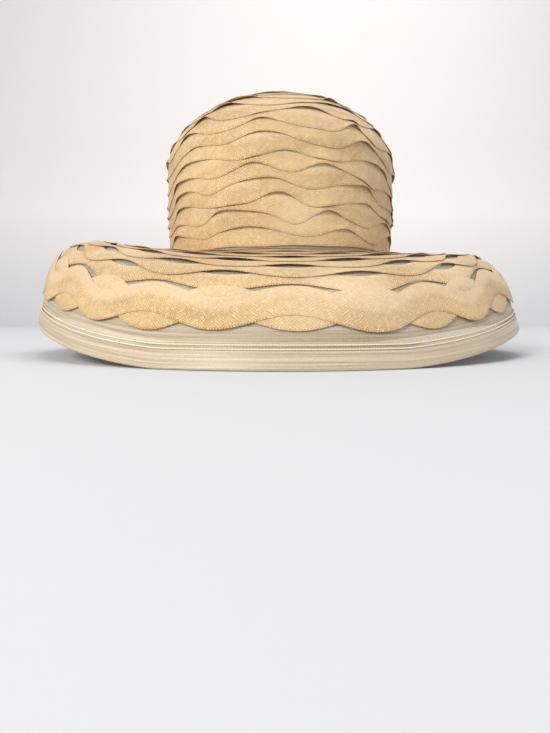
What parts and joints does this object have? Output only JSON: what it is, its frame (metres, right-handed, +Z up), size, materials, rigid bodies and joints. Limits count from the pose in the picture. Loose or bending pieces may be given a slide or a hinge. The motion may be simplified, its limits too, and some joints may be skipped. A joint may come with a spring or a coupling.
{
  "type": "wide-brim organza hat",
  "caption": "Wide-brim dress hat: a sheer organza dome and brim covered with overlapping rows of woven braid, with a crossing wavy braid near the edge and a sheer hemmed rim.",
  "frame": {"origin": "middle of the hat's box on the floor that it rests on", "axes": "+Z up through the crown, front at -Y, the hat longest front to back along Y"},
  "size_m": [0.3656, 0.3786, 0.1968],
  "materials": {
    "organza": "sheer ivory organza with a fine open weave and a soft sheen",
    "braid": "tan twill-woven braid, matt with a faint glitter",
    "headband": "brown ribbed ribbon, matt",
    "hem": "rolled organza hem with a satin thread, soft sheen"
  },
  "bodies": {
    "root": {"crown_base": "organza", "brim_base": "organza", "headband": "headband", "rim_hem": "hem", "crown_braid_01": "braid", "crown_braid_02": "braid", "crown_braid_03": "braid", "crown_braid_04": "braid", "crown_braid_05": "braid", "crown_braid_06": "braid", "crown_braid_07": "braid", "crown_braid_08": "braid", "crown_braid_09": "braid", "crown_braid_10": "braid", "crown_braid_11": "braid", "crown_braid_12": "braid", "crown_braid_13": "braid", "crown_braid_14": "braid", "crown_braid_15": "braid", "crown_braid_16": "braid", "crown_braid_17": "braid", "crown_braid_18": "braid", "crown_tip": "braid", "brim_braid_1": "braid", "brim_braid_2": "braid", "brim_braid_3": "braid", "brim_braid_4": "braid", "brim_braid_5": "braid", "brim_braid_6": "braid", "brim_braid_7": "braid", "brim_wave_under": "braid", "brim_wave_over": "braid"}
  },
  "joints": []
}
